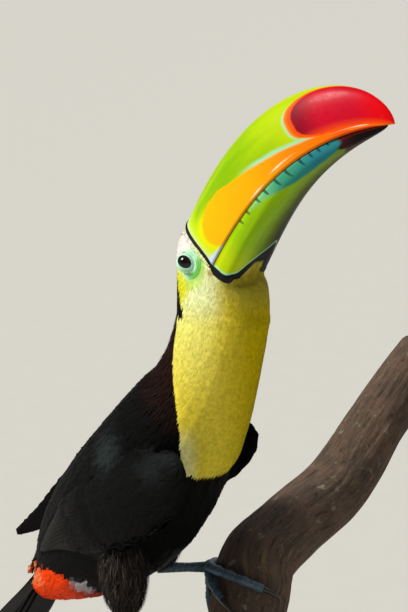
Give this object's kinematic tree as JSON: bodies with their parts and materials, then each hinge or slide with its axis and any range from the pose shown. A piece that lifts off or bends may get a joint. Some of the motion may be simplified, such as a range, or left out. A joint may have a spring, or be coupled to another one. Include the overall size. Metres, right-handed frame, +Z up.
{
  "type": "keel-billed toucan",
  "caption": "Still life-size toucan with a raised many-coloured bill, yellow bib and folded wings, gripping a cut branch held on rods over a flat base.",
  "frame": {"origin": "centre of the display stand's underside, on the floor", "axes": "+Z up; the bird faces -Y with its bill raised, so -Y is its front, and +X is its left side and the side on which the branch climbs"},
  "size_m": [0.3362, 0.3581, 0.4717],
  "materials": {
    "bill_green": "glossy keratin, green to yellow with an orange patch and a crimson tip",
    "bill_lower_green": "glossy keratin, green to teal blue with a dark red tip",
    "bill_rim": "satin black horn",
    "eye_wet": "wet gloss, brown iris round a black pupil",
    "face_skin": "bare wrinkled green skin round the eye, cream feathers elsewhere",
    "plumage_nape": "black feathers with a maroon tinge",
    "plumage_bib": "soft lemon yellow feathers",
    "plumage_black": "glossy black feathers with a faint blue sheen",
    "plumage_rump": "white feathers",
    "plumage_vent": "orange red feathers",
    "plumage_thigh": "loose sooty feathers",
    "quill_black": "stiff glossy black quills",
    "leg_scales": "blue grey scales",
    "claw_horn": "dark satin horn",
    "branch_bark": "rough grey brown bark with pale cut ends",
    "base_lacquer": "black satin lacquer",
    "rod_steel": "brushed"
  },
  "bodies": {
    "root": {"bill_upper": "bill_green", "bill_lower": "bill_lower_green", "bill_collar": "bill_rim", "eye_right": "eye_wet", "eye_left": "eye_wet", "head": "face_skin", "neck": "plumage_nape", "throat_bib": "plumage_bib", "uppertail_coverts": "plumage_rump", "undertail_coverts": "plumage_vent", "tail": "quill_black", "trunk": "plumage_black", "wing_right_coverts": "plumage_black", "wing_right_quills": "quill_black", "wing_left_coverts": "plumage_black", "wing_left_quills": "quill_black", "thigh_right": "plumage_thigh", "shank_right": "leg_scales", "toe_outer_front_right": "leg_scales", "claw_outer_front_right": "claw_horn", "toe_inner_front_right": "leg_scales", "claw_inner_front_right": "claw_horn", "toe_outer_back_right": "leg_scales", "claw_outer_back_right": "claw_horn", "toe_inner_back_right": "leg_scales", "claw_inner_back_right": "claw_horn", "thigh_left": "plumage_thigh", "shank_left": "leg_scales", "toe_outer_front_left": "leg_scales", "claw_outer_front_left": "claw_horn", "toe_inner_front_left": "leg_scales", "claw_inner_front_left": "claw_horn", "toe_outer_back_left": "leg_scales", "claw_outer_back_left": "claw_horn", "toe_inner_back_left": "leg_scales", "claw_inner_back_left": "claw_horn", "stand_base": "base_lacquer", "stand_rod_low": "rod_steel", "stand_rod_high": "rod_steel", "perch": "branch_bark"}
  },
  "joints": []
}
